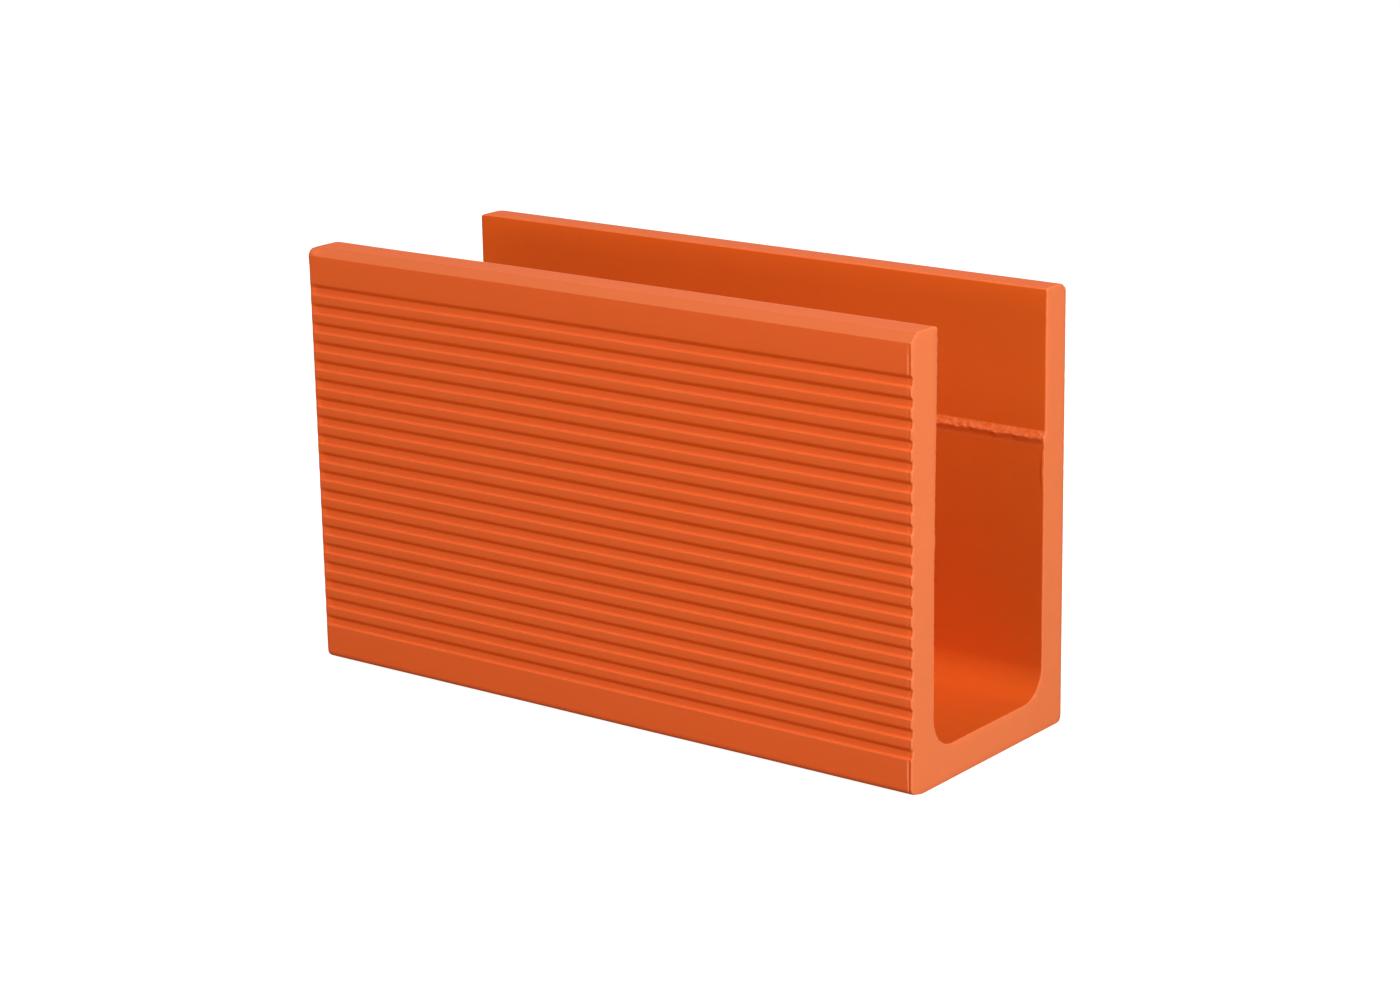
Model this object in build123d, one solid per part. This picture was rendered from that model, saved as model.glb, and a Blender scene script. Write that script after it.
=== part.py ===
from build123d import *
import os

# Ceramic u-channel block: one piece of clay, extruded, cut off by wire and fired.
# It stands on its closed base with the channel open upwards, ribbed face towards -Y.
# The origin is the centre of the base, X runs along the block, Z is up. Sizes are millimetres.

# Overall size
LENGTH = 317.5
WIDTH = 113.8
HEIGHT = 190.0

# Thickness of the floor and the walls
FLOOR_THICKNESS = 15.4
RIBBED_WALL_AT_TOP = 18.5
RIBBED_WALL_AT_FOOT = 16.3
RIBBED_WALL_TAPER_FOOT = 88.0
RIBBED_WALL_BEND_RADIUS = 200.0
PLAIN_WALL_ABOVE_LEDGE = 15.0
PLAIN_WALL_BELOW_LEDGE = 15.8

# At the left end the plain wall stops short of the floor and the ribbed wall
PLAIN_WALL_SETBACK = 14.9

# Ledge along the plain wall's inner face, sloping on top and undercut below
LEDGE_TOP_HEIGHT = 130.1
LEDGE_SLOPE_DROP = 3.8
LEDGE_UNDERCUT_DROP = 2.4
LEDGE_STANDS_OUT = 1.9
LEDGE_TOP_RADIUS = 1.0
LEDGE_LIP_RADIUS = 0.6
LEDGE_FOOT_RADIUS = 1.0

# Sloping shoulder between the top and the ribbed face
SHOULDER_WIDTH = 3.8
SHOULDER_DROP = 3.7
SHOULDER_TOP_RADIUS = 2.5
SHOULDER_FOOT_RADIUS = 0.6

# Rounded corners of the section
RIBBED_BASE_RADIUS = 8.0
PLAIN_BASE_RADIUS = 3.0
PLAIN_TOP_RADIUS = 4.2
PLAIN_ARRIS_RADIUS = 1.0
RIBBED_ARRIS_RADIUS = 2.4
CHANNEL_CORNER_RADIUS = 13.5

# Grooves along the ribbed face. Each has a sharp crease at its lower edge, a step in from there
# to a nearly flat floor, and a sloping lip at its upper edge. Heights are above the crease.
GROOVE_COUNT = 19
GROOVE_PITCH = 8.46
LOWEST_CREASE_HEIGHT = 16.35
STEP_HEIGHT = 0.75
STEP_DEPTH = 0.95
LIP_FOOT_HEIGHT = 3.35
LIP_TOP_HEIGHT = 4.85
GROOVE_DEPTH = 1.2
STEP_RADIUS = 0.5
LIP_FOOT_RADIUS = 1.0
LIP_TOP_RADIUS = 2.2

ribbed_face = -WIDTH / 2
plain_face = WIDTH / 2


def groove(crease):
    """Outline of one groove, from the rib above it down to its crease."""
    lip_rise = LIP_TOP_HEIGHT - LIP_FOOT_HEIGHT
    return FilletPolyline(
        (ribbed_face, crease + LIP_TOP_HEIGHT + lip_rise),
        (ribbed_face, crease + LIP_TOP_HEIGHT),
        (ribbed_face + GROOVE_DEPTH, crease + LIP_FOOT_HEIGHT),
        (ribbed_face + STEP_DEPTH, crease + STEP_HEIGHT),
        (ribbed_face, crease),
        radius=[LIP_TOP_RADIUS, LIP_FOOT_RADIUS, STEP_RADIUS],
    )


def ribbed_outline():
    """All grooves with the flat ribs between them, from the highest groove to the lowest."""
    outline = [groove(LOWEST_CREASE_HEIGHT + (GROOVE_COUNT - 1) * GROOVE_PITCH)]
    for row in reversed(range(GROOVE_COUNT - 1)):
        next_groove = groove(LOWEST_CREASE_HEIGHT + row * GROOVE_PITCH)
        rib = Line(outline[-1] @ 1, next_groove @ 0)
        outline += [rib, next_groove]
    return outline


def smooth_outline(start, end):
    """The rest of the section, round the base, the plain wall, the channel and the ribbed wall's top."""
    upper_inner_face = plain_face - PLAIN_WALL_ABOVE_LEDGE
    lower_inner_face = plain_face - PLAIN_WALL_BELOW_LEDGE
    lip_height = LEDGE_TOP_HEIGHT - LEDGE_SLOPE_DROP
    corners = [
        (ribbed_face, 0, RIBBED_BASE_RADIUS),
        (plain_face, 0, PLAIN_BASE_RADIUS),
        (plain_face, HEIGHT, PLAIN_TOP_RADIUS),
        (upper_inner_face, HEIGHT, PLAIN_ARRIS_RADIUS),
        (upper_inner_face, LEDGE_TOP_HEIGHT, LEDGE_TOP_RADIUS),
        (upper_inner_face - LEDGE_STANDS_OUT, lip_height, LEDGE_LIP_RADIUS),
        (lower_inner_face, lip_height - LEDGE_UNDERCUT_DROP, LEDGE_FOOT_RADIUS),
        (lower_inner_face, FLOOR_THICKNESS, CHANNEL_CORNER_RADIUS),
        (ribbed_face + RIBBED_WALL_AT_FOOT, FLOOR_THICKNESS, CHANNEL_CORNER_RADIUS),
        (ribbed_face + RIBBED_WALL_AT_FOOT, RIBBED_WALL_TAPER_FOOT, RIBBED_WALL_BEND_RADIUS),
        (ribbed_face + RIBBED_WALL_AT_TOP, HEIGHT, RIBBED_ARRIS_RADIUS),
        (ribbed_face + SHOULDER_WIDTH, HEIGHT, SHOULDER_TOP_RADIUS),
        (ribbed_face, HEIGHT - SHOULDER_DROP, SHOULDER_FOOT_RADIUS),
    ]
    points = [(across, height) for across, height, radius in corners]
    radii = [radius for across, height, radius in corners]
    return FilletPolyline(start, *points, end, radius=radii)


def section_face():
    """The block's cross-section: Y across, Z up."""
    ribs = ribbed_outline()
    highest_lip = ribs[0] @ 0
    lowest_crease = ribs[-1] @ 1
    return make_face([smooth_outline(lowest_crease, highest_lip)] + ribs)


def setback():
    """The space beside the left end where the plain wall is missing, down to the channel's floor."""
    channel_middle = (ribbed_face + RIBBED_WALL_AT_FOOT + plain_face - PLAIN_WALL_BELOW_LEDGE) / 2
    size = (PLAIN_WALL_SETBACK, plain_face - channel_middle, HEIGHT - FLOOR_THICKNESS)
    space = Box(*size, align=(Align.MIN, Align.MIN, Align.MIN))
    return Pos(-LENGTH / 2, channel_middle, FLOOR_THICKNESS) * space


section = Plane.YZ.offset(-LENGTH / 2) * section_face()
block = extrude(section, amount=LENGTH) - setback()

os.makedirs("parts", exist_ok=True)
export_step(block, "parts/u_channel_block.step")
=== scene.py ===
from math import atan2, ceil, cos, inf, radians, sin, sqrt

import bmesh
import bpy
from mathutils import Matrix, Vector, noise


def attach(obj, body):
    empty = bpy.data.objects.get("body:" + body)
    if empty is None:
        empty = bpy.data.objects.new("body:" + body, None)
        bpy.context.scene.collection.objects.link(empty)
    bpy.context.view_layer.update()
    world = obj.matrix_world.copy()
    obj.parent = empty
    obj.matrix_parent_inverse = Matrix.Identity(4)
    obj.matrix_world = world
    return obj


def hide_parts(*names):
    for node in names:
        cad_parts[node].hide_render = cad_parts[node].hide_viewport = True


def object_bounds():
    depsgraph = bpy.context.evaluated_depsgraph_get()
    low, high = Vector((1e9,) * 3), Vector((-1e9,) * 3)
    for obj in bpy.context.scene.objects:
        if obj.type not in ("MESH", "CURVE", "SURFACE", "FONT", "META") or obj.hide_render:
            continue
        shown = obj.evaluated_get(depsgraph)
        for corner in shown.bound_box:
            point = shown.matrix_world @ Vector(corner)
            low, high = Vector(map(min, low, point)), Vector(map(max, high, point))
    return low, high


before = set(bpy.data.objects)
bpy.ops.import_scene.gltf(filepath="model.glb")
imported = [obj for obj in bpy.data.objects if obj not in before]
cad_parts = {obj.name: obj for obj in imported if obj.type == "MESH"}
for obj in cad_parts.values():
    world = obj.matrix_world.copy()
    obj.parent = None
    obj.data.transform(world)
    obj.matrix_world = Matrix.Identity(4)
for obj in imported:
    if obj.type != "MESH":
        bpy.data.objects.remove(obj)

# Ceramic u-channel block: one piece of clay, extruded, cut off by wire and fired.
# X runs along the block, the ribbed face looks towards -Y and Z is up.
# Lengths below are millimetres, and MM turns them to Blender's metres.
# A pair of values is where something starts and where it is complete.
MM = 0.001

# Camera, as fitted to the block's straight edges in the photograph
CAMERA_AZIMUTH = radians(37.397)
CAMERA_ELEVATION = radians(15.678)
CAMERA_ROLL = radians(-1.0)
CAMERA_DISTANCE = 1459.4
AIM_RIGHT = 9.55
AIM_UP = -8.71
AIM_HEIGHT = 95.0
LENS = 87.12
SENSOR = 36.0

# The block's own sizes that the relief below follows
PLAIN_WALL_SETBACK = 14.9
RIBBED_WALL = 18.5
PLAIN_WALL = 15.8
GROOVE_COUNT = 19
GROOVE_PITCH = 8.46
LOWEST_CREASE_HEIGHT = 16.35
GROOVE_HEIGHT = 5.5
GROOVE_DEPTH = 1.2
SHOULDER_DEPTH = 3.75
RIM_DROP = 4.0
BASE_ROUNDING = 8.0
UNDERSIDE_BAND = 1.0
LEDGE_LIP_HEIGHT = 126.3
LEDGE_SLOPE_DROP = 3.8
LEDGE_UNDERCUT_DROP = 2.4

# The stretch of the plain wall's inner face that the ledge takes up. Its reach is from the plain face.
LEDGE_FOOT = 121.2
LEDGE_HEAD = 131.6
LEDGE_REACH = 18.5
LEDGE_DEPTH = 4.2
BELOW_UNDERCUT = 0.8
ABOVE_SLOPE = 0.6

# Tolerances
MERGE_DISTANCE = 0.005
TOUCHING = 0.01
RING_SLACK = 0.05
DEPTH_SLACK = 0.1
SNAP = 0.12
JOINED_ANGLE = radians(0.4)
CRISP_ANGLE = radians(35)
ARRIS_ANGLE = radians(60)

# Shares of a unit normal that tell which way a face looks
SLANTED = 0.05
PAINTED_SHADE_LIP_UNDERSIDE = 0.2
TURNED_SIDEWAYS = 0.3
SLOPING_UP = 0.3
SLOPING_OUT = 0.35
MOSTLY = 0.5
STRAIGHT = 0.7
FLAT_CUT = 0.99

# Shares of a length that tell whole runs along the block from cut ones
LENGTHWISE = 0.9
UNCUT = 0.7
WHOLE_RUN = 0.6

# Cuts that give the relief its resolution
ROW_SPACING = 4.0
TOP_ROW_SPACING = 3.0
LEDGE_ROW_SPACING = 0.55
ABOVE_LEDGE_ROW = 0.8
SHOULDER_ROW_SPACING = 0.75
FOOT_ROWS = [0.12, 0.4, 0.9, 1.5, 2.2, 3.0, 4.0, 5.2, 6.5]
BELOW_CREASE_ROW = 0.4
SLICE_SPACING = 4.0
FINE_SLICE_SPACING = 0.9
BURR_SLICE_SPACING = 0.28
FINE_STRETCH = 4.5
BURR_STRETCH = 2.7
LEDGE_CUTS = 4
CREASE_CUTS = 1
CREASE_CUT_BAND = 0.45
ARRIS_CUTS = 3
ARRIS_CUT_LENGTH = 1.5
CAP_SPACING = 3.0

# Arrises of the cut ends
RIGHT_ARRIS_WIDTH = 0.45
RIGHT_ARRIS_SEGMENTS = 2
LEFT_ARRIS_WIDTH = 1.4
LEFT_ARRIS_SEGMENTS = 3

# Waves of the die along the sides
WAVE_DEPTH = 0.12
WAVE_RUN = 75
WAVE_WIDTH = 38
FINE_WAVE_DEPTH = 0.035
FINE_WAVE_RUN = 24
FINE_WAVE_WIDTH = 5
WAVES_ABOVE = 0.5

# Lower corner of the ribbed face
LOWER_CORNER_RADIUS = 3.0
UNDERSIDE_RISE = 1.15
UNDERSIDE_SLOPE_START = 2.4

# Torn ledge. A wandering line has waves, each with its height, its size and its row of the noise.
LIP_RAISED = 0.7
LIP_WANDER = 1.2
LIP_WAVES = [(0.6, 7, 3), (0.7, 2.4, 7)]
TEAR_DEPTH = 0.4
TEAR_ONSET = 2.5
LUMP_RUN = 2.2
LUMP_HEIGHT = 1.5
CRUMB_RUN = 1.2
CRUMB_HEIGHT = 0.9
CRUMB_SHIFT = 5
CRUMB_SHARE = 0.6
SLOPE_TEAR = 0.35
UNDERCUT_TEAR = 0.7
UNDERCUT_LUMP_SHARE = 0.4

# Left end: smeared grooves, a fuller shoulder and sagging corners
SMEAR_START = 0.2
SMEAR_LENGTH = 4.0
SMEARED_DEPTH_SHARE = 0.1
UNFOLD_DEPTH = 0.5
UNFOLD_BAND = 1.0
UNFOLD_PASSES = 12
UNFOLD_FACTOR = 0.5
SLIVER_AREA = 1e-5
SLIVER_WIDTH = 0.001
SHOULDER_BULGE = 1.3
SHOULDER_BULGE_START = 0.5
SHOULDER_BULGE_LENGTH = 7.0
SHOULDER_SLACK = 0.3
CORNER_SAG = 0.7
CORNER_SAG_LENGTH = 5.5
CORNER_SAG_BELOW_TOP = (14, 1)
WALL_SAG = 0.35
WALL_SAG_HEIGHTS = (50, 150)
WALL_SAG_LEFT_OF_MIDDLE = (40, 130)

# Right end: the burr on the ribbed face and the hollow between it and the end
DRAG_LENGTH = 2.0
DRAG_DEPTH = 0.55
DRAG_ZONE = 0.6
DRAG_ON_GROOVES = 0.3
BURR_WAVES = [(0.22, 9, 2), (0.1, 2.2, 4)]
BURR_EDGE = (-0.05, 0.4)
BAND_FADE = 1.0
SHOULDER_FADE_BELOW = 1.5
SHOULDER_FADE_ABOVE = 0.3

# Right end: a loose flake on one inner arris and a bulge on the other
FLAKE_DEPTH = 0.35
FLAKE_SHARE = 0.8
FLAKE_WAVES = [(0.4, 1, 0)]
FLAKE_BAND = 0.6
FLAKE_ZONE = 2.2
FLAKE_FOOT = (109.5, 111.5)
FLAKE_HEAD = (117.5, 119.5)
FLAKE_NEAR_SIDE = (0.5, 0.9)
FLAKE_FAR_SIDE = (1.2, 1.7)
BULGE_DEPTH = 0.5
BULGE_BAND = 2.6
BULGE_FOOT = (98, 103.5)
BULGE_HEAD = (103.5, 107)
BULGE_FADE = (2, 9)

# Right end: nicks in the arrises
NICK_SIZE = 2.4
FINE_NICK_SIZE = 1.3
FINE_NICK_SHARE = 0.6
NICK_DEPTH = 0.32
NICK_DEPTH_ALONG = 0.16
PLAIN_FACE_BAND = 1.0
PLAIN_FACE_NICK_SHARE = 0.3

# Worn clay and painted highlights: how far each shows, from 0 to 1, and where. At the foot of the ledge's
# undercut the pale line is a painted highlight, and along each crease it is partly wear and partly a painted
# highlight
PATCH_SIZE = 2.3
PATCH_MIDDLE = 0.75
PATCH_SWING = 0.5
LEDGE_PATCH_SIZE = 1.3
LEDGE_WEAR = 0.45
LEDGE_WEAR_SWING = 0.8
LEDGE_WEAR_BELOW_LIP = 0.4
LEDGE_WEAR_BELOW_HEAD = 0.1
UNDERCUT_PAINTED_HIGHLIGHT = 0.3
UNDERCUT_PAINTED_HIGHLIGHT_BAND = 0.4
ARRIS_WEAR = 0.9
ARRIS_WEAR_NORMAL = 0.93
BURR_WEAR = 0.3
BURR_WEAR_BAND = 0.3
BURR_WEAR_DEPTH = 0.4
CREASE_WEAR_AND_HIGHLIGHT = 0.35
CREASE_WEAR_AND_HIGHLIGHT_BAND = 0.6
RIM_WEAR = 0.6
RIM_WEAR_DROP = 0.8
RIM_WEAR_INSET = 1.2
RIM_WEAR_BAND = 1.6

# Patterns of the clay: sizes in millimetres, and how far each one changes the colour's value.
# The real grain is about 0.2 mm. It is drawn coarser, so that it shows in the render.
MOTTLE_SIZE = 14.0
STREAK_WIDTH = 1.3
GRAIN_SIZE = 0.8
MOTTLE_DETAIL = 3.0
STREAK_DETAIL = 2.0
GRAIN_DETAIL = 3.0
MOTTLE_SHADE = 0.05
STREAK_SHADE = 0.03
GRAIN_SHADE = 0.03
GRAIN_DEPTH = 0.05
STREAK_DEPTH_SHARE = 0.5

# How many times its width a streak runs along X, Y and Z
DIE_STREAKS = (40, 1, 1)
RIM_STREAKS = (30, 1, 1)
WIRE_STREAKS = (1, 14, 4)

# Dry unglazed clay has no gloss
CLAY_ROUGHNESS = 0.85
CLAY_SPECULAR_LEVEL = 0.15

# The inside of the channel, which is painted a deeper orange as shade: how far it starts from each outer
# face and above the base
PAINTED_SHADE_CHANNEL_INSET = 12.0
PAINTED_SHADE_CHANNEL_ABOVE = 5.0

# Lamps: where each one stands and its size, both in metres, and its power in watts
LAMPS = {
    "key_from_the_right": ((1.70, -0.60, 0.94), (1.3, 1.7), 44.5),
    "fill_from_the_front": ((-0.34, -1.44, 1.45), (1.0, 1.0), 11.2),
    "low_fill_from_the_front": ((-0.39, -1.96, 0.25), (1.6, 0.4), 7.8),
    "fill_from_above": ((-0.45, -0.20, 2.03), (1.0, 1.0), 7.6),
    "dim_fill_from_behind": ((-1.10, 1.70, 0.70), (1.2, 1.2), 9.0),
}

# The surroundings' share of white light, and the floor's reach in metres and its own shares
SKY_LEVEL = 0.03
FLOOR_REACH = 6.0
FLOOR_BOUNCE = 0.22
FLOOR_SHADOW = 0.4
FLOOR_GLOW = 0.95

cad_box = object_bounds()
low, high = [[value / MM for value in corner] for corner in cad_box]
left_end, ribbed_face, base_level = low
right_end, plain_face, top_level = high
step_end = left_end + PLAIN_WALL_SETBACK

creases = [LOWEST_CREASE_HEIGHT + row * GROOVE_PITCH for row in range(GROOVE_COUNT)]
grooves_foot = creases[0]
grooves_head = creases[-1] + GROOVE_HEIGHT


def linear(hex_colour):
    """An sRGB hex colour as the linear values that a shader socket takes."""
    parts = [int(hex_colour[i:i + 2], 16) / 255 for i in (0, 2, 4)]
    return [p / 12.92 if p <= 0.04045 else ((p + 0.055) / 1.055) ** 2.4 for p in parts] + [1.0]


def ease(value, start, end):
    """0 at start, 1 at end and smooth between them."""
    t = min(max((value - start) / (end - start), 0.0), 1.0)
    return t * t * (3 - 2 * t)


def hump(value, rise, fall):
    """1 between a rise and a fall, and 0 outside them."""
    return ease(value, *rise) * (1 - ease(value, *fall))


# Camera

def place_camera():
    """The photograph's viewpoint: from the right, a little above, with a long lens."""
    back = Vector((sin(CAMERA_AZIMUTH) * cos(CAMERA_ELEVATION),
                   -cos(CAMERA_AZIMUTH) * cos(CAMERA_ELEVATION), sin(CAMERA_ELEVATION)))
    level_right = Vector((cos(CAMERA_AZIMUTH), sin(CAMERA_AZIMUTH), 0))
    level_up = back.cross(level_right)
    right = level_right * cos(CAMERA_ROLL) + level_up * sin(CAMERA_ROLL)
    up = back.cross(right)
    aim = Vector((0, 0, AIM_HEIGHT)) + right * AIM_RIGHT + up * AIM_UP
    data = bpy.data.cameras.new("photo_camera")
    data.lens = LENS
    data.sensor_width = SENSOR
    camera = bpy.data.objects.new("photo_camera", data)
    turn = Matrix((right, up, back)).transposed().to_4x4()
    camera.matrix_world = Matrix.Translation((aim + back * CAMERA_DISTANCE) * MM) @ turn
    bpy.context.scene.collection.objects.link(camera)
    bpy.context.scene.camera = camera


# Parts of the block

def within_grooves(point):
    """Whether a point is no deeper than the ribbed face's grooves."""
    return point.y < ribbed_face + GROOVE_DEPTH + DEPTH_SLACK


def on_ribs(point):
    """Whether a point lies on the grooved part of the ribbed face."""
    return grooves_foot - DEPTH_SLACK < point.z < grooves_head and within_grooves(point)


def on_ledge(point):
    """Whether a point lies on the torn ledge of the plain wall's inner face."""
    front = plain_face - LEDGE_REACH
    foot = LEDGE_LIP_HEIGHT - LEDGE_UNDERCUT_DROP - BELOW_UNDERCUT
    head = LEDGE_LIP_HEIGHT + LEDGE_SLOPE_DROP + ABOVE_SLOPE
    return front < point.y < front + LEDGE_DEPTH and foot < point.z < head


def on_shoulder(point, normal):
    """Whether a point and its normal belong to the shoulder above the ribbed face."""
    high_up = point.z > top_level - RIM_DROP and point.y < 0
    return high_up and normal.z > SLOPING_UP and normal.y < -SLOPING_OUT


def on_right_arris(point):
    """Whether a point lies on the right end's arris."""
    return point.x > right_end - RIGHT_ARRIS_WIDTH - RING_SLACK


def crease_distance(point):
    """How far a point of the ribbed face lies from the nearest crease."""
    return min(abs(point.z - crease) for crease in creases) if within_grooves(point) else inf


def runs_along(edge):
    """Whether an edge runs the way the clay was extruded."""
    start, end = (vert.co for vert in edge.verts)
    return abs(start.x - end.x) > LENGTHWISE * (start - end).length


def chosen(faces, wanted):
    """The faces whose centre and normal pass a test."""
    return [face for face in faces if wanted(face.calc_center_median(), face.normal)]


# Mesh of the block

def merged_copy(node):
    """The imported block's mesh in millimetres, its loose triangles joined to flat faces."""
    bm = bmesh.new()
    bm.from_mesh(node.data)
    bmesh.ops.scale(bm, vec=Vector((1 / MM, 1 / MM, 1 / MM)), verts=bm.verts)
    bmesh.ops.remove_doubles(bm, verts=bm.verts, dist=MERGE_DISTANCE)
    bmesh.ops.dissolve_limit(bm, angle_limit=JOINED_ANGLE, verts=bm.verts, edges=bm.edges)
    return bm


def cut_rows(bm, faces, normal, places):
    """Cuts faces by parallel planes at these distances from the origin."""
    edges = dict.fromkeys(edge for face in faces for edge in face.edges)
    verts = dict.fromkeys(vert for face in faces for vert in face.verts)
    geom = [*faces, *edges, *verts]
    for place in places:
        cut = bmesh.ops.bisect_plane(bm, geom=geom, dist=SNAP, plane_co=normal * place, plane_no=normal)
        geom = cut["geom"]


def spaced(start, end, spacing):
    """Evenly spaced places between two ends, without the ends."""
    count = ceil((end - start) / spacing)
    return [start + (end - start) * step / count for step in range(1, count)]


def cut_lengthwise(bm):
    """Rows along the block: close on the ledge, the shoulder and the lower corner, wider elsewhere."""
    across, up = Vector((0, 1, 0)), Vector((0, 0, 1))
    sides = chosen(bm.faces, lambda centre, normal: abs(normal.x) < MOSTLY)
    ribs = chosen(sides, lambda centre, normal: on_ribs(centre))
    others = chosen(sides, lambda centre, normal: not on_ribs(centre))
    ledge = chosen(others, lambda centre, normal: centre.y > plain_face - LEDGE_REACH
                   and normal.y < 0 and LEDGE_FOOT < centre.z < LEDGE_HEAD)
    smooth = [face for face in others if face not in ledge]
    walls = chosen(smooth, lambda centre, normal: abs(normal.y) > STRAIGHT)
    levels = chosen(smooth, lambda centre, normal: abs(normal.z) > STRAIGHT)
    wall_rows = spaced(base_level, top_level, ROW_SPACING) + [LEDGE_HEAD, LEDGE_HEAD + ABOVE_LEDGE_ROW]
    cut_rows(bm, ribs, up, [crease - BELOW_CREASE_ROW for crease in creases[1:]])
    cut_rows(bm, walls, up, wall_rows)
    cut_rows(bm, levels, across, spaced(ribbed_face, plain_face, TOP_ROW_SPACING))
    cut_rows(bm, ledge, up, spaced(LEDGE_FOOT, LEDGE_HEAD, LEDGE_ROW_SPACING))
    foot = chosen(others, lambda centre, normal: normal.y < -SLANTED and normal.z < -SLANTED
                  and centre.z < BASE_ROUNDING and centre.y < 0)
    cut_rows(bm, foot, up, FOOT_ROWS)
    shoulder = chosen(bm.faces, on_shoulder)
    cut_rows(bm, shoulder, up, spaced(top_level - SHOULDER_DEPTH, top_level, SHOULDER_ROW_SPACING))


def round_arrises(bm):
    """Rounds the edges of the cut ends: a fine arris on the right, a softer one on the left."""
    def outline(place):
        return [edge for edge in bm.edges
                if all(abs(vert.co.x - place) < TOUCHING for vert in edge.verts)
                and len(edge.link_faces) == 2 and edge.calc_face_angle(0) > ARRIS_ANGLE
                and edge.is_convex]

    right, left = outline(right_end), outline(left_end) + outline(step_end)
    for edges, width, segments in ((right, RIGHT_ARRIS_WIDTH, RIGHT_ARRIS_SEGMENTS),
                                   (left, LEFT_ARRIS_WIDTH, LEFT_ARRIS_SEGMENTS)):
        bmesh.ops.bevel(bm, geom=edges, offset=width, offset_type="OFFSET", segments=segments,
                        profile=0.5, affect="EDGES", clamp_overlap=False, material=-1)


def slice_across(bm):
    """Slices along the length, finer near the ends, after whole planes have parted the stretches."""
    along = Vector((1, 0, 0))
    soft_end, soft_step = left_end + LEFT_ARRIS_WIDTH, step_end + LEFT_ARRIS_WIDTH
    burr_start = right_end - BURR_STRETCH
    stretches = [(soft_end, soft_end + FINE_STRETCH, FINE_SLICE_SPACING),
                 (soft_end + FINE_STRETCH, step_end, SLICE_SPACING),
                 (step_end, soft_step, LEFT_ARRIS_WIDTH),
                 (soft_step, soft_step + FINE_STRETCH, FINE_SLICE_SPACING),
                 (soft_step + FINE_STRETCH, right_end - FINE_STRETCH - BURR_STRETCH, SLICE_SPACING),
                 (right_end - FINE_STRETCH - BURR_STRETCH, burr_start, FINE_SLICE_SPACING),
                 (burr_start, right_end - RIGHT_ARRIS_WIDTH, BURR_SLICE_SPACING)]
    everything = bm.verts[:] + bm.edges[:] + bm.faces[:]
    for start, end, spacing in stretches[1:]:
        cut = bmesh.ops.bisect_plane(bm, geom=everything, dist=TOUCHING, plane_co=along * start,
                                     plane_no=along)
        everything = cut["geom"]
    for start, end, spacing in stretches:
        cuts = ceil((end - start) / spacing) - 1
        runs = [edge for edge in bm.edges
                if runs_along(edge) and edge.calc_length() > WHOLE_RUN * (end - start)
                and min(vert.co.x for vert in edge.verts) > start - 2 * TOUCHING
                and max(vert.co.x for vert in edge.verts) < end + 2 * TOUCHING]
        if cuts:
            bmesh.ops.subdivide_edges(bm, edges=runs, cuts=cuts, use_grid_fill=True)


def refine_torn_parts(bm):
    """More slices on the torn ledge and along the creases, and more points on the right arris."""
    def uncut_runs(wanted):
        return [edge for edge in bm.edges
                if runs_along(edge) and edge.calc_length() > UNCUT * SLICE_SPACING
                and all(wanted(vert.co) for vert in edge.verts)]

    def by_crease(point):
        return crease_distance(point) < CREASE_CUT_BAND

    def on_fine_arris(point):
        inner_ring = right_end - RIGHT_ARRIS_WIDTH - 2 * TOUCHING
        return point.x > inner_ring and point.z > UNDERSIDE_BAND

    bmesh.ops.subdivide_edges(bm, edges=uncut_runs(on_ledge), cuts=LEDGE_CUTS, use_grid_fill=True)
    bmesh.ops.subdivide_edges(bm, edges=uncut_runs(by_crease), cuts=CREASE_CUTS, use_grid_fill=True)
    arris = [edge for edge in bm.edges if edge.calc_length() > ARRIS_CUT_LENGTH
             and all(on_fine_arris(vert.co) for vert in edge.verts)]
    bmesh.ops.subdivide_edges(bm, edges=arris, cuts=ARRIS_CUTS, use_grid_fill=True)


def grid_caps(bm):
    """A grid on the flat cut ends, for their relief."""
    for normal, places in ((Vector((0, 1, 0)), spaced(ribbed_face, plain_face, CAP_SPACING)),
                           (Vector((0, 0, 1)), spaced(base_level, top_level, CAP_SPACING))):
        caps = [face for face in bm.faces if abs(face.normal.x) > FLAT_CUT]
        cut_rows(bm, caps, normal, places)


def mark_creases(bm):
    """The lower edge of each groove stays crisp, the rest of the section is smooth."""
    for edge in bm.edges:
        crisp = len(edge.link_faces) == 2 and edge.calc_face_angle(0) > CRISP_ANGLE
        edge.smooth = not (crisp and runs_along(edge))


# Relief of the clay

def drawn_noise(point, run, width):
    """Smooth noise between -1 and 1, drawn out along the block. Both sizes are millimetres."""
    return noise.noise(Vector((point.x / run, point.y / width, point.z / width)))


def broken_noise(point, run, height, shift=0):
    """Noise of clay that broke in lumps, with their run along the block and their height."""
    return noise.noise(Vector((point.x / run, point.y + shift, point.z / height)))


def wander(place, waves):
    """How far a wandering line strays at a place along it."""
    return sum(height * noise.noise(Vector((place / size, row, 0))) for height, size, row in waves)


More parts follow.
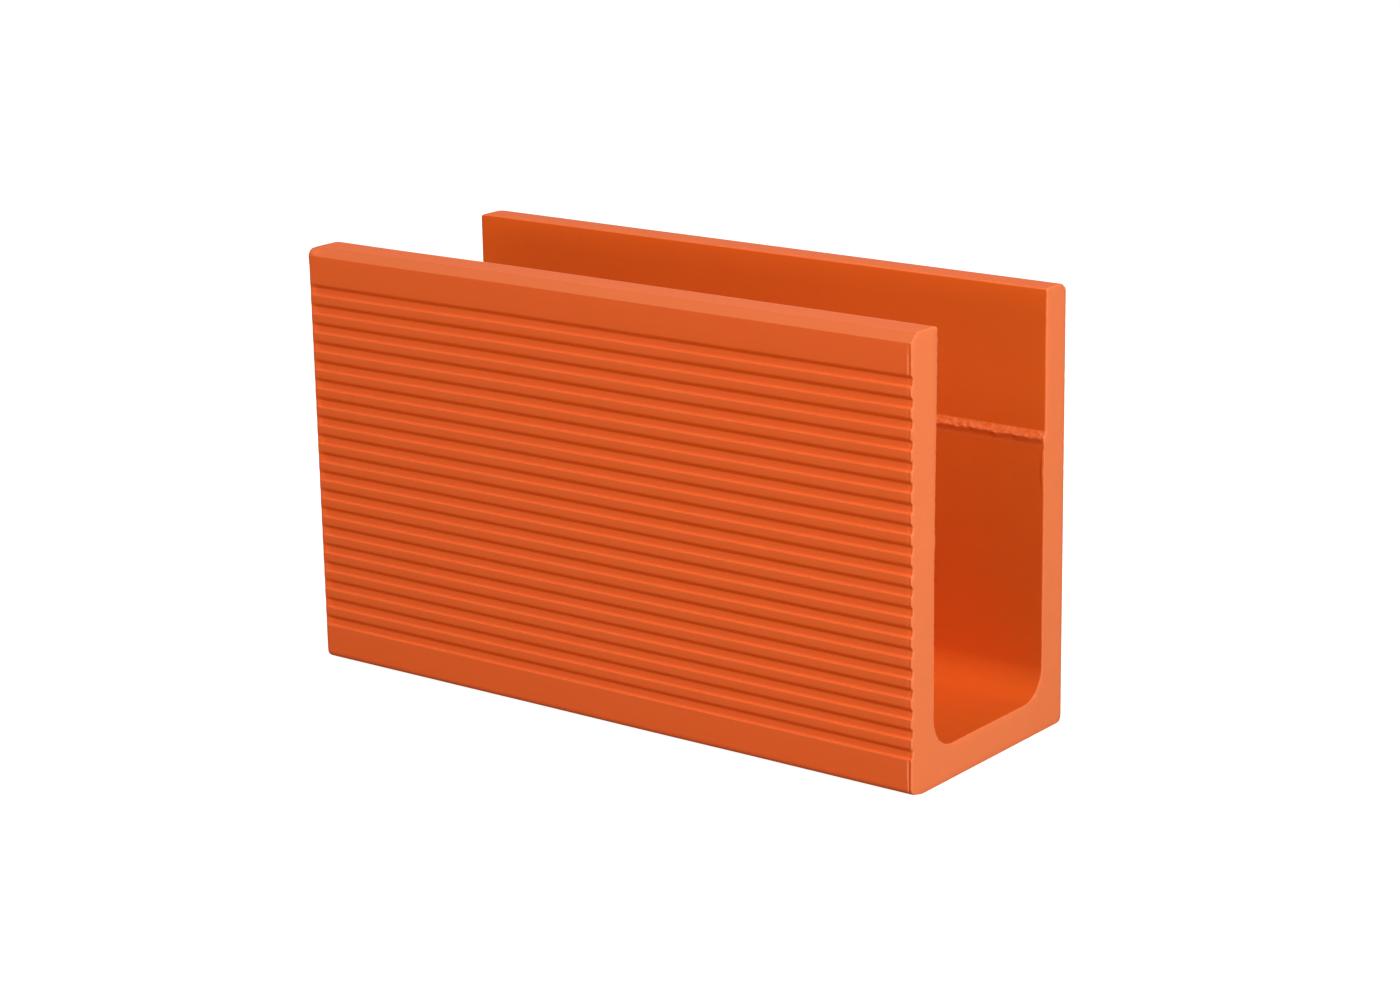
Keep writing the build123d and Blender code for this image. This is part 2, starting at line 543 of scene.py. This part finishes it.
def tighten_lower_corner(bm):
    """The ribbed face runs further down than its rounding, to a tight corner over a lifted underside."""
    middle_y, middle_z = ribbed_face + BASE_ROUNDING, base_level + BASE_ROUNDING
    slope = atan2(UNDERSIDE_RISE, BASE_ROUNDING - UNDERSIDE_SLOPE_START)
    turn = radians(90) - slope
    arc_end_y = LOWER_CORNER_RADIUS * (1 - cos(turn))
    arc_end_z = (BASE_ROUNDING - arc_end_y) * sin(slope) / cos(slope)
    straight = BASE_ROUNDING - arc_end_z - LOWER_CORNER_RADIUS * sin(turn)
    arc = LOWER_CORNER_RADIUS * turn
    whole = straight + arc + (BASE_ROUNDING - arc_end_y) / cos(slope)
    for vert in bm.verts:
        out, down = middle_y - vert.co.y, middle_z - vert.co.z
        if out > 0 and down > 0:
            angle = atan2(down, out)
            run = whole * angle / radians(90)
            if run < straight:
                y, z = 0, BASE_ROUNDING - run
            elif run < straight + arc:
                bend = (run - straight) / LOWER_CORNER_RADIUS
                y = LOWER_CORNER_RADIUS * (1 - cos(bend))
                z = BASE_ROUNDING - straight - LOWER_CORNER_RADIUS * sin(bend)
            else:
                y = arc_end_y + (run - straight - arc) * cos(slope)
                z = arc_end_z - (run - straight - arc) * sin(slope)
            share = min((out**2 + down**2) / BASE_ROUNDING**2, 1)
            vert.co.y += share * (y - BASE_ROUNDING * (1 - cos(angle)))
            vert.co.z += share * (z - BASE_ROUNDING * (1 - sin(angle)))


def smear_left_end(bm):
    """The wire dragged the clay shut over the grooves as it came through the left end."""
    for vert in bm.verts:
        point = vert.co
        depth = point.y - ribbed_face
        grooved = grooves_foot - DEPTH_SLACK < point.z < grooves_head
        shallow = depth < GROOVE_DEPTH + LEFT_ARRIS_WIDTH + DEPTH_SLACK
        if grooved and shallow and point.x < left_end + SMEAR_LENGTH:
            share = ease(point.x, left_end + SMEAR_START, left_end + SMEAR_LENGTH)
            kept = SMEARED_DEPTH_SHARE + (1 - SMEARED_DEPTH_SHARE) * share
            rounding = max(point.x - left_end - LEFT_ARRIS_WIDTH, -LEFT_ARRIS_WIDTH)
            if rounding < -TOUCHING:
                round_depth = LEFT_ARRIS_WIDTH - sqrt(LEFT_ARRIS_WIDTH**2 - rounding**2)
                vert.co.y = ribbed_face + round_depth + max(depth - round_depth, 0) * kept
            else:
                vert.co.y = ribbed_face + depth * kept


def unfold_left_arris(bm):
    """The left arris folds over itself beside the creases. Evening out the heights unfolds it."""
    folded = [vert for vert in bm.verts if vert.co.x < left_end + LEFT_ARRIS_WIDTH - RING_SLACK
              and vert.co.y < ribbed_face + LEFT_ARRIS_WIDTH + UNFOLD_DEPTH
              and grooves_foot - UNFOLD_BAND < vert.co.z < grooves_head + UNFOLD_BAND]
    for _ in range(UNFOLD_PASSES):
        bmesh.ops.smooth_vert(bm, verts=folded, factor=UNFOLD_FACTOR, use_axis_z=True)
    slivers = [face for face in bm.faces if face.calc_area() < SLIVER_AREA]
    edges = dict.fromkeys(edge for face in slivers for edge in face.edges)
    bmesh.ops.dissolve_degenerate(bm, dist=SLIVER_WIDTH, edges=list(edges))


def drag_waves(bm):
    """Faint waves that the die leaves along every side but the base."""
    for vert in bm.verts:
        if vert.co.z > WAVES_ABOVE and abs(vert.normal.x) < MOSTLY:
            coarse = WAVE_DEPTH * (0.5 + 0.5 * drawn_noise(vert.co, WAVE_RUN, WAVE_WIDTH))
            fine = FINE_WAVE_DEPTH * (0.5 + 0.5 * drawn_noise(vert.co, FINE_WAVE_RUN, FINE_WAVE_WIDTH))
            vert.co -= Vector((0, vert.normal.y, vert.normal.z)) * (coarse + fine)


def tear_ledge(bm):
    """The ledge broke off rough: its lip wanders and its slope is torn."""
    for vert in bm.verts:
        point = vert.co
        if on_ledge(point):
            above = point.z > LEDGE_LIP_HEIGHT
            reach = LEDGE_SLOPE_DROP if above else LEDGE_UNDERCUT_DROP
            near_lip = max(1 - abs(point.z - LEDGE_LIP_HEIGHT) / reach, 0)
            torn = broken_noise(point, LUMP_RUN, LUMP_HEIGHT)
            torn += CRUMB_SHARE * broken_noise(point, CRUMB_RUN, CRUMB_HEIGHT, CRUMB_SHIFT)
            depth = SLOPE_TEAR + torn if above else UNDERCUT_TEAR + UNDERCUT_LUMP_SHARE * torn
            vert.co.z += (LIP_RAISED + LIP_WANDER * wander(point.x, LIP_WAVES)) * near_lip
            vert.co.y += TEAR_DEPTH * min(near_lip * TEAR_ONSET, 1) * depth


def drag_right_end(bm):
    """The wire pulled a burr along the ribbed face, with a shallow hollow between it and the right end."""
    shoulder_foot = top_level - RIM_DROP
    for vert in bm.verts:
        point = vert.co
        to_end = right_end - RIGHT_ARRIS_WIDTH - point.x
        near_end = -DEPTH_SLACK < to_end < DRAG_LENGTH + DRAG_ZONE
        if near_end and within_grooves(point) and point.z > UNDERSIDE_BAND:
            start = DRAG_LENGTH - RIGHT_ARRIS_WIDTH + wander(point.z, BURR_WAVES)
            hollow = ease(start - to_end, *BURR_EDGE) * min(max(to_end / start, 0), 1)
            on_band = 1 - ease(point.z, grooves_foot - BAND_FADE, grooves_foot + BAND_FADE)
            on_band += ease(point.z, grooves_head - BAND_FADE, grooves_head + BAND_FADE)
            below_shoulder = 1 - ease(point.z, shoulder_foot - SHOULDER_FADE_BELOW,
                                      shoulder_foot + SHOULDER_FADE_ABOVE)
            share = DRAG_ON_GROOVES + (1 - DRAG_ON_GROOVES) * on_band
            vert.co.y += DRAG_DEPTH * hollow * share * below_shoulder


def flake_inner_arrises(bm):
    """A loose flake on the plain wall's inner arris, and a bulge on the ribbed wall's."""
    for vert in bm.verts:
        point = vert.co
        to_end = right_end - point.x
        if abs(point.y - (plain_face - PLAIN_WALL)) < FLAKE_BAND and to_end < FLAKE_ZONE:
            flake = hump(to_end, FLAKE_NEAR_SIDE, FLAKE_FAR_SIDE) * hump(point.z, FLAKE_FOOT, FLAKE_HEAD)
            vert.co.y -= FLAKE_DEPTH * flake * (FLAKE_SHARE + wander(point.z, FLAKE_WAVES))
        if abs(point.y - (ribbed_face + RIBBED_WALL)) < BULGE_BAND and to_end < BULGE_FADE[1]:
            bulge = hump(point.z, BULGE_FOOT, BULGE_HEAD)
            vert.co.y += BULGE_DEPTH * bulge * (1 - ease(to_end, *BULGE_FADE))


def nick_arrises(bm):
    """Small nicks where the wire broke grains out of the right end's arrises."""
    for vert in bm.verts:
        point = vert.co
        if on_right_arris(point) and point.z > UNDERSIDE_BAND:
            bite = noise.noise(point / NICK_SIZE) + FINE_NICK_SHARE * noise.noise(point / FINE_NICK_SIZE)
            if point.y > plain_face - PLAIN_FACE_BAND:
                bite *= PLAIN_FACE_NICK_SHARE
            vert.co.x -= NICK_DEPTH_ALONG * max(bite, 0)
            inwards = Vector((0, vert.normal.y, vert.normal.z))
            if inwards.length > TURNED_SIDEWAYS:
                vert.co -= inwards.normalized() * NICK_DEPTH * max(bite, 0)


def fill_left_shoulder(bm):
    """The wire dragged clay out over the shoulder at the left end, which rounds it."""
    for vert in bm.verts:
        depth, drop = vert.co.y - ribbed_face, top_level - vert.co.z
        near_end = 1 - ease(vert.co.x, left_end + SHOULDER_BULGE_START, left_end + SHOULDER_BULGE_LENGTH)
        if near_end > 0 and max(depth, drop) < SHOULDER_DEPTH + SHOULDER_SLACK:
            place = min(max((depth + SHOULDER_DEPTH - drop) / (2 * SHOULDER_DEPTH), 0), 1)
            shift = SHOULDER_BULGE * near_end * 4 * place * (1 - place) / sqrt(2)
            vert.co.y -= shift
            vert.co.z += shift


def sag_left_corners(bm):
    """The free corners at the left end sank a little while the clay was soft."""
    sag_heights = [top_level - below for below in CORNER_SAG_BELOW_TOP]
    for vert in bm.verts:
        point = vert.co
        end = step_end if point.y > 0 else left_end
        near_top = ease(point.z, *sag_heights)
        near_end = 1 - min((point.x - end) / CORNER_SAG_LENGTH, 1)
        drop = CORNER_SAG * near_top * near_end**2 if near_end > 0 else 0
        if point.y < 0:
            drop += WALL_SAG * ease(point.z, *WALL_SAG_HEIGHTS) * ease(-point.x, *WALL_SAG_LEFT_OF_MIDDLE)
        vert.co.z -= drop


def keep_inside(bm):
    """Nothing stands out past the block's own size."""
    for vert in bm.verts:
        for axis in range(3):
            vert.co[axis] = min(max(vert.co[axis], low[axis]), high[axis])


def wear_and_highlight_share(point, normal):
    """How far the paler clay under the skin shows, from 0 to 1, with a painted highlight at the foot of the
    undercut and, partly, along the creases.
    """
    above_lip = point.z - LEDGE_LIP_HEIGHT
    patchy_share = PATCH_MIDDLE + PATCH_SWING * noise.noise(point / PATCH_SIZE)
    if on_ledge(point) and -LEDGE_WEAR_BELOW_LIP < above_lip < LEDGE_SLOPE_DROP - LEDGE_WEAR_BELOW_HEAD:
        return min(max(LEDGE_WEAR + LEDGE_WEAR_SWING * noise.noise(point / LEDGE_PATCH_SIZE), 0), 1)
    # Painted highlight: a pale line at the foot of the ledge's undercut
    if on_ledge(point) and abs(above_lip + LEDGE_UNDERCUT_DROP) < UNDERCUT_PAINTED_HIGHLIGHT_BAND:
        return UNDERCUT_PAINTED_HIGHLIGHT * patchy_share
    if on_right_arris(point) and abs(normal.x) < ARRIS_WEAR_NORMAL:
        return min(ARRIS_WEAR * patchy_share, 1)
    at_burr = abs(right_end - point.x - DRAG_LENGTH) < BURR_WEAR_BAND
    if at_burr and point.y < ribbed_face + BURR_WEAR_DEPTH and not on_ribs(point):
        return BURR_WEAR * patchy_share
    # Along each crease the pale line is partly wear and partly a painted highlight
    distance = crease_distance(point)
    if distance < CREASE_WEAR_AND_HIGHLIGHT_BAND:
        return CREASE_WEAR_AND_HIGHLIGHT * patchy_share * (1 - distance / CREASE_WEAR_AND_HIGHLIGHT_BAND)
    rim_inner_edge = ribbed_face + RIBBED_WALL - RIM_WEAR_INSET
    if point.z > top_level - RIM_WEAR_DROP and abs(point.y - rim_inner_edge) < RIM_WEAR_BAND:
        return RIM_WEAR * patchy_share
    return 0.0


def block_mesh():
    """The block's mesh, ready for its finish."""
    bm = merged_copy(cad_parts["u_channel_block"])
    cut_lengthwise(bm)
    bm.normal_update()
    mark_creases(bm)
    round_arrises(bm)
    slice_across(bm)
    refine_torn_parts(bm)
    grid_caps(bm)
    bm.normal_update()
    # Paler clay where worn, with painted highlights at the undercut's foot and, partly, along the creases
    pale_wear_and_highlight = bm.verts.layers.float.new("pale_wear_and_highlight")
    for vert in bm.verts:
        vert[pale_wear_and_highlight] = wear_and_highlight_share(vert.co, vert.normal)
    tighten_lower_corner(bm)
    bm.normal_update()
    for relief in (smear_left_end, unfold_left_arris, drag_waves, tear_ledge, drag_right_end,
                   flake_inner_arrises, nick_arrises, fill_left_shoulder, sag_left_corners, keep_inside):
        relief(bm)
    for face in bm.faces:
        face.smooth = True
    bmesh.ops.scale(bm, vec=Vector((MM, MM, MM)), verts=bm.verts)
    mesh = bpy.data.meshes.new("clay_block")
    bm.to_mesh(mesh)
    bm.free()
    return mesh


# Finish

def add(tree, kind, sockets=None, **settings):
    """Adds a shader node with its settings. Each socket named gets a link or a value."""
    node = tree.nodes.new("ShaderNode" + kind)
    for name, value in settings.items():
        setattr(node, name, value)
    for name, value in (sockets or {}).items():
        if isinstance(value, bpy.types.NodeSocket):
            tree.links.new(value, node.inputs[name])
        else:
            node.inputs[name].default_value = value
    return node


def fired_clay(name, colour, pale_wear_and_highlight_colour, streak_run):
    """Matt unglazed terracotta with a mottle, a fine grain and the streaks of the die or the wire."""
    material = bpy.data.materials.new(name)
    material.use_nodes = True
    tree = material.node_tree
    place = add(tree, "TexCoord").outputs["Object"]

    def pattern(size, detail, stretch=(1, 1, 1)):
        scale = [1 / (size * MM * factor) for factor in stretch]
        mapped = add(tree, "Mapping", {"Vector": place, "Scale": scale}).outputs[0]
        return add(tree, "TexNoise", {"Vector": mapped, "Scale": 1.0, "Detail": detail}).outputs["Fac"]

    mottle = pattern(MOTTLE_SIZE, MOTTLE_DETAIL)
    streaks = pattern(STREAK_WIDTH, STREAK_DETAIL, streak_run)
    grain = pattern(GRAIN_SIZE, GRAIN_DETAIL)
    shade = add(tree, "Math", {0: mottle, 1: MOTTLE_SHADE}, operation="MULTIPLY").outputs[0]
    shade = add(tree, "Math", {0: streaks, 1: STREAK_SHADE, 2: shade}, operation="MULTIPLY_ADD").outputs[0]
    shade = add(tree, "Math", {0: grain, 1: GRAIN_SHADE, 2: shade}, operation="MULTIPLY_ADD").outputs[0]
    middle = (MOTTLE_SHADE + STREAK_SHADE + GRAIN_SHADE) / 2
    value = add(tree, "Math", {0: shade, 1: 1 - middle}, operation="ADD").outputs[0]
    shaded = add(tree, "HueSaturation", {"Color": linear(colour), "Value": value}).outputs[0]
    # Paler clay where worn; at the undercut's foot and partly along the creases it is a painted highlight
    pale_wear_and_highlight = add(tree, "Attribute", attribute_name="pale_wear_and_highlight").outputs["Fac"]
    shaded = add(tree, "Mix", {0: pale_wear_and_highlight, 6: shaded, 7: linear(pale_wear_and_highlight_colour)}, data_type="RGBA").outputs[2]
    relief = add(tree, "Math", {0: streaks, 1: STREAK_DEPTH_SHARE, 2: grain}, operation="MULTIPLY_ADD")
    bump = add(tree, "Bump", {"Height": relief.outputs[0], "Distance": GRAIN_DEPTH * MM, "Strength": 1.0})
    shader = tree.nodes["Principled BSDF"]
    shader.inputs["Roughness"].default_value = CLAY_ROUGHNESS
    shader.inputs["Specular IOR Level"].default_value = CLAY_SPECULAR_LEVEL
    tree.links.new(shaded, shader.inputs["Base Color"])
    tree.links.new(bump.outputs[0], shader.inputs["Normal"])
    return material


def clay_finishes():
    """The clay surfaces of the block, in the order that clay_at numbers them."""
    return [
        # The die leaves a deep orange skin, drawn out along the block
        fired_clay("extruded_terracotta_skin", "E96026", "E87C4A", DIE_STREAKS),
        # Inside the channel the skin is painted a deeper orange with less blue: painted shade of the channel
        fired_clay("terracotta_skin_with_painted_channel_shade", "E65F17", "F07A48", DIE_STREAKS),
        # The wire leaves the cut ends paler and drier
        fired_clay("wire_cut_terracotta", "EC7B48", "FF8A58", WIRE_STREAKS),
        # The tops are painted paler than the skin: a painted sheen of the light that grazes them from above
        fired_clay("terracotta_rim_with_painted_sheen", "F2743F", "FF8A58", RIM_STREAKS),
        # The shoulder is painted darker than the tops: painted shade that holds back the light its slope
        # catches
        fired_clay("terracotta_shoulder_with_painted_shade", "DD6D3D", "EE7A46", DIE_STREAKS),
        # Under the lips of the grooves the skin is painted the deepest orange: lines of painted shade
        fired_clay("terracotta_under_lips_with_painted_shade", "EC5A12", "E87C4A", DIE_STREAKS),
    ]


def clay_at(centre, normal):
    """The number of the clay surface that a face gets, painted shade and sheen among them."""
    skin, painted_channel_shade, wire_cut, rim_with_painted_sheen, shoulder, painted_shade_under_lips = range(6)
    if abs(normal.x) > MOSTLY:
        return wire_cut
    # The shoulder gets a darker colour, as painted shade
    if on_shoulder(centre, normal):
        return shoulder
    # The tops get a paler colour, as a painted sheen
    if centre.z > top_level - RIM_DROP and normal.z > SLOPING_UP:
        return rim_with_painted_sheen
    # The inside of the channel gets a deeper orange, as painted shade
    if ribbed_face + PAINTED_SHADE_CHANNEL_INSET < centre.y < plain_face - PAINTED_SHADE_CHANNEL_INSET and centre.z > PAINTED_SHADE_CHANNEL_ABOVE:
        return painted_channel_shade
    # Faces under the groove lips get the deepest orange, as painted shade
    if on_ribs(centre) and normal.z < -PAINTED_SHADE_LIP_UNDERSIDE:
        return painted_shade_under_lips
    return skin


def finish(piece):
    """Gives each face of the block its clay surface, painted shade and sheen among them."""
    for material in clay_finishes():
        piece.data.materials.append(material)
    for face in piece.data.polygons:
        face.material_index = clay_at(face.center / MM, face.normal)


# Studio

def area_light(name, place, size, power):
    """A soft lamp that looks at the middle of the block."""
    data = bpy.data.lights.new(name, "AREA")
    data.shape = "RECTANGLE"
    data.size, data.size_y = size
    data.energy = power
    lamp = bpy.data.objects.new(name, data)
    place = Vector(place)
    aim = place - Vector((0, 0, AIM_HEIGHT * MM))
    lamp.matrix_world = Matrix.Translation(place) @ aim.to_track_quat("Z", "Y").to_matrix().to_4x4()
    bpy.context.scene.collection.objects.link(lamp)


def seen_directly(tree):
    """1 for rays that show the surroundings as a picture: camera, glossy and transmission rays."""
    rays = add(tree, "LightPath").outputs
    either = add(tree, "Math", {0: rays["Is Camera Ray"], 1: rays["Is Glossy Ray"]}, operation="MAXIMUM")
    return add(tree, "Math", {0: either.outputs[0], 1: rays["Is Transmission Ray"]},
               operation="MAXIMUM").outputs[0]


def white_surroundings():
    """White where they are seen, and dim where they light the block."""
    world = bpy.data.worlds.new("studio")
    world.use_nodes = True
    tree = world.node_tree
    strength = add(tree, "MapRange", {"Value": seen_directly(tree), "To Min": SKY_LEVEL, "To Max": 1.0})
    background = tree.nodes["Background"]
    background.inputs["Color"].default_value = (1, 1, 1, 1)
    tree.links.new(strength.outputs["Result"], background.inputs["Strength"])
    bpy.context.scene.world = world


def floor_material():
    """Matt white where the camera sees it, with the block's shadow, and duller where it lights the block."""
    material = bpy.data.materials.new("matt_white_floor")
    material.use_nodes = True
    tree = material.node_tree
    tree.nodes.clear()
    light_path = add(tree, "LightPath")
    bounce = add(tree, "BsdfDiffuse", {"Color": (FLOOR_BOUNCE, FLOOR_BOUNCE, FLOOR_BOUNCE, 1)})
    shadowed = add(tree, "BsdfDiffuse", {"Color": (FLOOR_SHADOW, FLOOR_SHADOW, FLOOR_SHADOW, 1)})
    glow = add(tree, "Emission", {"Color": (1, 1, 1, 1), "Strength": FLOOR_GLOW})
    shown = add(tree, "AddShader", {0: shadowed.outputs[0], 1: glow.outputs[0]})
    mix = add(tree, "MixShader", {0: light_path.outputs["Is Camera Ray"], 1: bounce.outputs[0],
                                  2: shown.outputs[0]})
    add(tree, "OutputMaterial", {"Surface": mix.outputs[0]})
    return material


def lay_floor():
    """The flat floor that the block stands on."""
    mesh = bpy.data.meshes.new("studio_floor")
    bm = bmesh.new()
    bmesh.ops.create_grid(bm, x_segments=1, y_segments=1, size=FLOOR_REACH)
    bm.to_mesh(mesh)
    bm.free()
    mesh.materials.append(floor_material())
    floor_object = bpy.data.objects.new("studio_floor", mesh)
    bpy.context.scene.collection.objects.link(floor_object)


place_camera()
white_surroundings()
for lamp_name, (lamp_place, lamp_size, lamp_power) in LAMPS.items():
    area_light(lamp_name, lamp_place, lamp_size, lamp_power)
lay_floor()

block = bpy.data.objects.new("clay_block", block_mesh())
bpy.context.scene.collection.objects.link(block)
finish(block)
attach(block, "root")
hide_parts("u_channel_block")

bpy.context.scene.view_settings.view_transform = "Standard"
